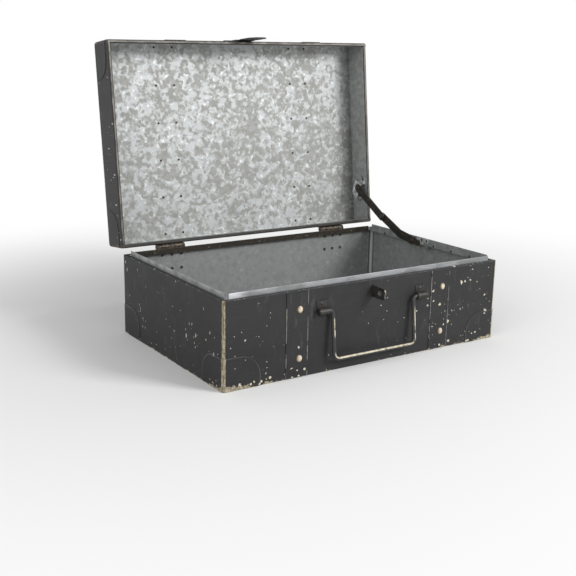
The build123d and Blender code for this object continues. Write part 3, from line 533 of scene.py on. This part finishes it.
# ---- rims, steel and fittings ------------------------------------------------------------------------
def hemmed_edge():
    """The lid's hem: rubbed light along its middle, dark along both borders (black paint, with painted
    shade along the inner border), and darker at the back by the hinge, partly brown metal and partly
    painted shade.
    """
    paper = Paper("lid_hem")
    place = paper.place(lid=True)
    _, y, _ = paper.split(place)
    inward = paper.least(*inside_walls(paper, place))
    patch = paper.noise(place, 7 * MM, detail=3)
    inset = paper.total(paper.ramp(patch, 0, 1, -0.5 * MM, 0.5 * MM), inward)
    band = paper.product(paper.ramp(inset, 1.0 * MM, 1.5 * MM), paper.ramp(inset, 3.4 * MM, 2.8 * MM))
    # darker at the back: brown metal and painted shade by the hinge
    back = paper.ramp(y, *shifted((-12 * MM, -5 * MM), half_depth))
    band = paper.product(band, paper.minus(1.0, paper.product(back, 0.82)))
    tone = paper.mix(paper.patches(place, 18 * MM, 0.4, 0.6, detail=4), RIM_LIGHT, RIM_WARM)
    colour = paper.mix(band, RIM_DARK, tone)
    rough = paper.ramp(patch, 0.3, 0.6, 0.6, 0.45)
    return paper.finish(colour, rough, 0.2, paper.relief((patch, 0.15 * MM)))


def worn_metal(name, light, dark, size, lid=False):
    """Bare or thinly painted metal, rubbed light and dark in patches, and pitted."""
    paper = Paper(name)
    place = paper.place(lid)
    patch = paper.noise(place, size, detail=4, rough=0.6)
    colour = paper.mix(paper.ramp(patch, 0.36, 0.62), dark, light)
    pits = paper.patches(place, 1.6 * MM, 0.62, 0.72)
    colour = paper.mix(paper.product(pits, 0.6), colour, dark)
    rough = paper.ramp(patch, 0.3, 0.6, 0.62, 0.42)
    return paper.finish(colour, rough, 0.3, paper.relief((patch, 0.15 * MM)))


def hinge_steel(name, lid=False):
    """Hinges painted over with the trunk, and worn to brown steel round the knuckles."""
    paper = Paper(name)
    place = paper.place(lid)
    _, y, z = paper.split(place)
    off_pin = paper.distance(paper.minus(y, hinge_axis.y), paper.minus(z, hinge_axis.z))
    patch = paper.noise(place, 4 * MM, detail=4, rough=0.6)
    steel = paper.mix(paper.ramp(patch, 0.36, 0.62), BROWN_DARK, BROWN_WORN)
    paint, strokes = brushed_paint(paper, place)
    ragged = paper.total(off_pin, paper.ramp(patch, 0.3, 0.7, 3 * MM, -3 * MM))
    scraped = paper.product(paper.ramp(patch, 0.60, 0.66), 0.6)
    worn = paper.most(paper.ramp(ragged, 7 * MM, 6 * MM), scraped)
    normal = paper.relief((patch, 0.15 * MM), (strokes, 0.06 * MM))
    return paper.finish(paper.mix(worn, paint, steel), 0.52, paper.product(worn, 0.3), normal)


def browned_steel():
    """Dark lacquer on steel, dull brown where it is rubbed, with a few brassy glints."""
    paper = Paper("browned_steel")
    place = paper.place()
    patch = paper.noise(place, 9 * MM, detail=4, rough=0.65)
    colour = paper.mix(paper.ramp(patch, 0.38, 0.6), BROWN_DARK, BROWN)
    rust = paper.patches(place, 6 * MM, 0.56, 0.66, detail=3, rough=0.7)
    colour = paper.mix(paper.product(rust, 0.7), colour, BROWN_RUST)
    glints = paper.patches(place, 2.4 * MM, 0.68, 0.74)
    colour = paper.mix(paper.product(glints, 0.7), colour, BRASS)
    normal = paper.relief((patch, 0.2 * MM), (rust, 0.05 * MM))
    return paper.finish(colour, paper.ramp(patch, 0.3, 0.7, 0.6, 0.42), 0.15, normal)


def handle_enamel():
    """The bail: black enamel rubbed to cream where a hand and the table reach it, along the rod's upper
    front side; this is partly worn undercoat and partly a painted highlight.
    """
    paper = Paper("handle_enamel")
    place = paper.place()
    colour, _ = brushed_paint(paper, place)
    x, _, z = paper.split(place)
    low_bar = paper.ramp(z, 26 * MM, 22 * MM)
    right_arm = paper.product(paper.ramp(x, 40 * MM, 50 * MM), paper.ramp(z, 60 * MM, 54 * MM))
    left_arm = paper.product(paper.ramp(x, -40 * MM, -50 * MM), paper.ramp(z, 62 * MM, 58 * MM),
                             paper.ramp(z, 38 * MM, 44 * MM))
    # the cream along the rod's upper front side is partly wear and partly a painted highlight
    forward = paper.facing((0.12, -0.88, 0.46), 0.84, 0.94)
    broken = paper.patches(place, 16 * MM, 0.38, 0.44, detail=4, rough=0.6)
    rubbed = paper.product(paper.most(low_bar, right_arm, left_arm), forward, broken)
    rubbed = paper.most(rubbed, chips(paper, place, HANDLE_CHIPS, 1.0))
    cream = paper.mix(paper.patches(place, 6 * MM, 0.38, 0.55, detail=3), EDGE_LIGHT, CHIP_CREAM)
    normal = paper.relief((paper.noise(place, 4 * MM), 0.1 * MM))
    return paper.finish(paper.mix(rubbed, colour, cream), paper.blend(rubbed, 0.45, 0.7), 0.0, normal)


def fitting_paint(name, lid=False):
    """Small black fittings, brown where they are rubbed, and bright on the edge that stands out most."""
    paper = Paper(name)
    place = paper.place(lid)
    _, y, _ = paper.split(place)
    patch = paper.noise(place, 6 * MM, detail=4, rough=0.65)
    colour = paper.mix(paper.ramp(patch, 0.36, 0.62), FITTING_BLACK, FITTING_GREY)
    rust = paper.patches(place, 5 * MM, 0.58, 0.66, detail=3)
    colour = paper.mix(paper.product(rust, 0.4), colour, BROWN_RUST)
    furthest_out = paper.ramp(paper.minus(-half_depth, y), 18 * MM, 19.5 * MM)
    outward = paper.product(paper.facing((0, -1, 0), 0.7, 0.9, lid), furthest_out)
    rubbed = paper.product(outward, paper.patches(place, 3 * MM, 0.40, 0.5, detail=3), 0.8)
    colour = paper.mix(rubbed, colour, FITTING_BRIGHT)
    return paper.finish(colour, 0.5, 0.2, paper.relief((patch, 0.15 * MM)))


def rivet_cream(name, lid=False):
    """Domed rivets: cream on their domes, with painted shade in tan round the foot, where the dome turns
    away from the front.
    """
    paper = Paper(name)
    place = paper.place(lid)
    patch = paper.noise(place, 3.5 * MM, detail=3)
    cream = paper.mix(paper.ramp(patch, 0.35, 0.6), EDGE_LIGHT, CHIP_CREAM)
    # tan round the foot is painted shade on the dome's sides
    lit_dome = paper.facing((0.3, -0.95, 0.1), 0.45, 0.85, lid)
    return paper.finish(paper.mix(lit_dome, TAN, cream), 0.65, 0.0, paper.relief((patch, 0.1 * MM)), gloss=0.3)


# ---- which material goes where -------------------------------------------------------------------
def coat(names, material):
    for name in names:
        materials = frame["nodes"][name].data.materials
        materials.clear()
        materials.append(material)


def corner_plates(part):
    return [f"{part}_corner_plate_{y}_{x}" for y in ("front", "back") for x in ("left", "right")]


def depth_in_box(point, low, high):
    """How far a point is outside the rounded box of the body or the shut lid; negative inside."""
    past_x = abs(point.x) - half_width + corner_radius
    past_y = abs(point.y) - half_depth + corner_radius
    beside = math.hypot(max(past_x, 0), max(past_y, 0)) + min(max(past_x, past_y), 0) - corner_radius
    return max(beside, low - point.z, point.z - high)


def coat_sheet(name, coats, choose):
    """Gives each face of a folded sheet the one of the coats that choose names for the face's middle."""
    mesh = frame["nodes"][name].data
    mesh.materials.clear()
    order = list(coats)
    for side in order:
        mesh.materials.append(coats[side])
    for face in mesh.polygons:
        face.material_index = order.index(choose(face.center))


def side_of_body(point):
    return "outside" if depth_in_box(point, 0.0, body_top) > -skin else "inside"


def side_of_lid(point):
    shut = close_lid @ point
    if shut.z < lid_rim + hem_sheet:
        return "hem"
    if depth_in_box(shut, lid_rim, lid_top) > -skin:
        return "outside"
    return "wall" if shut.z < lid_top - lining_drop else "inside"


def dress_body():
    coats = {"outside": painted("body_enamel"),
             "inside": zinc("body_zinc", DULL_LIGHT, DULL_GREY, DULL_FLECK, 0.6, border=lit_corner_seam)}
    for name in ("body_wrap", "body_left_side", "body_right_side"):
        coat_sheet(name, coats, side_of_body)
    coat(["front_rim_strip"], front_strip_zinc())
    coat(["left_rim_strip", "right_rim_strip"],
         worn_metal("side_strip_zinc", SIDE_STRIP_LIGHT, SIDE_STRIP_GREY, 16 * MM))
    coat(["back_rim_strip", "stay_lower_arm", "stay_upper_arm"], browned_steel())
    coat(["rim_strip_rivets", "handle_eye_rivets", "hinge_body_rivets", "stay_body_bracket_rivets",
          "stay_body_pivot", "stay_elbow_rivet", "stay_elbow_tail"],
         worn_metal("dark_rivet", RIVET_LIGHT, RIVET_DARK, 2 * MM))
    coat(corner_plates("body"), painted("corner_plate_enamel", corner_plate=True))
    coat(["body_left_strap", "body_right_strap"], painted("strap_enamel", strap=True))
    coat(["body_strap_rivets"], rivet_cream("strap_rivet_cream"))
    coat(["handle_left_eye", "handle_right_eye", "staple"], fitting_paint("fitting_enamel"))
    coat(["handle_bail"], handle_enamel())
    coat(["left_hinge_body_leaf", "right_hinge_body_leaf", "left_hinge_pin", "right_hinge_pin"],
         hinge_steel("hinge_steel"))
    coat(["stay_body_bracket"], worn_metal("bracket_zinc", BRACKET_LIGHT, BRACKET_GREY, 9 * MM))


def dress_lid():
    coats = {"outside": painted("lid_enamel", lid=True),
             "inside": zinc("lid_zinc", ZINC_LIGHT, ZINC_GREY, ZINC_FLECK, 1.0, lid=True, border=shaded_lining_end),
             "hem": hemmed_edge(),
             # the walls take the darker copy of the zinc: painted shade
             "wall": zinc("lid_wall_zinc_shaded", SHADED_WALL_LIGHT, SHADED_WALL_GREY, SHADED_WALL_FLECK, 0.8, lid=True)}
    for name in ("lid_pan", "lid_left_side", "lid_right_side"):
        coat_sheet(name, coats, side_of_lid)
    coat(corner_plates("lid"), painted("lid_corner_plate_enamel", lid=True, corner_plate=True))
    coat(["lid_left_strap", "lid_right_strap"], painted("lid_strap_enamel", lid=True, strap=True))
    coat(["lid_strap_rivets"], rivet_cream("lid_rivet_cream", lid=True))
    coat(["lid_strap_tacks", "hinge_lid_rivets", "hasp_leaf_rivets", "stay_lid_bracket_rivets",
          "stay_lid_pivot", "hasp_pin"],
         worn_metal("lid_dark_rivet", LID_RIVET_LIGHT, LID_RIVET_DARK, 2 * MM, lid=True))
    coat(["left_hinge_lid_leaf", "right_hinge_lid_leaf"], hinge_steel("lid_hinge_steel", lid=True))
    # a lighter copy of the bracket zinc: painted highlight
    coat(["stay_lid_bracket"],
         worn_metal("lid_bracket_zinc_lit", LID_BRACKET_HIGHLIGHT, LID_BRACKET_LIT_GREY, 9 * MM, lid=True))
    coat(["hasp_leaf", "hasp_plate"], fitting_paint("hasp_enamel", lid=True))


# ---- stage, camera and lights ------------------------------------------------------------------------
def background_share(paper):
    """1 for the rays that should find a white background, and 0 for those that light the trunk."""
    path = paper.add("LightPath", {}).outputs
    return paper.most(path["Is Camera Ray"], path["Is Glossy Ray"], path["Is Transmission Ray"])


def pale_floor():
    """A pale floor that keeps the trunk's shadow and fades into the white around it."""
    reach = 6.0
    below_base = 0.2 * MM
    fade = (0.26, 0.85)            # from the middle of the trunk
    mesh = bpy.data.meshes.new("floor")
    mesh.from_pydata([(-reach, -reach, 0), (reach, -reach, 0), (reach, reach, 0), (-reach, reach, 0)], [],
                     [(0, 1, 2, 3)])
    floor = bpy.data.objects.new("floor", mesh)
    bpy.context.scene.collection.objects.link(floor)
    floor.location.z = -below_base
    paper = Paper("pale_floor")
    away = paper.add("VectorMath", {0: paper.place()}, operation="LENGTH").outputs["Value"]
    diffuse = paper.add("BsdfDiffuse", {"Color": FLOOR}).outputs[0]
    glow = paper.add("Emission", {"Color": WHITE, "Strength": 1.0}).outputs[0]
    share = paper.product(paper.ramp(away, *fade), background_share(paper))
    mixed = paper.add("MixShader", {0: share, 1: diffuse, 2: glow}).outputs[0]
    paper.add("OutputMaterial", {"Surface": mixed})
    mesh.materials.append(paper.material)


def white_world():
    """Even light from all round, and plain white to the camera and in reflections."""
    light_strength = 0.51
    world = bpy.data.worlds.new("studio")
    bpy.context.scene.world = world
    paper = Paper("studio", world)
    lit = paper.add("Background", {"Color": WHITE, "Strength": light_strength}).outputs[0]
    white = paper.add("Background", {"Color": WHITE, "Strength": 1.0}).outputs[0]
    mixed = paper.add("MixShader", {0: background_share(paper), 1: lit, 2: white}).outputs[0]
    paper.add("OutputWorld", {"Surface": mixed})


def soft_lamp(name, place, aim, size, power):
    light = bpy.data.lights.new(name, "AREA")
    light.size = size
    light.energy = power
    lamp = bpy.data.objects.new(name, light)
    lamp.location = place
    lamp.rotation_euler = (Vector(aim) - Vector(place)).to_track_quat("-Z", "Y").to_euler()
    bpy.context.scene.collection.objects.link(lamp)


def photo_camera():
    """The camera fitted to the trunk's straight edges in the photograph."""
    picture_width = 576
    focal_pixels = 949.54
    position = (-0.62255, -0.89831, 0.34196)
    turn = math.radians(-33.392)       # from looking along Y, towards the right
    dip = math.radians(14.612)
    roll = math.radians(1.0005)
    forward = Vector((-math.sin(turn) * math.cos(dip), math.cos(turn) * math.cos(dip), -math.sin(dip)))
    level = Vector((math.cos(turn), math.sin(turn), 0))
    above = level.cross(forward)
    right = math.cos(roll) * level + math.sin(roll) * above
    up = -math.sin(roll) * level + math.cos(roll) * above
    data = bpy.data.cameras.new("photo_camera")
    data.sensor_width = 36.0
    data.lens = focal_pixels * data.sensor_width / picture_width
    camera = bpy.data.objects.new("photo_camera", data)
    turned = Matrix((right, up, -forward)).transposed().to_4x4()
    camera.matrix_world = Matrix.Translation(position) @ turned
    bpy.context.scene.collection.objects.link(camera)
    bpy.context.scene.camera = camera


photo_camera()
pale_floor()
white_world()
soft_lamp("key", place=(1.05, -1.7, 1.2), aim=(0, 0, 0.15), size=0.7, power=33)
soft_lamp("fill", place=(-1.6, -0.8, 0.9), aim=(0, 0, 0.12), size=1.2, power=9)
dress_body()
dress_lid()
bpy.context.scene.view_settings.view_transform = "Standard"
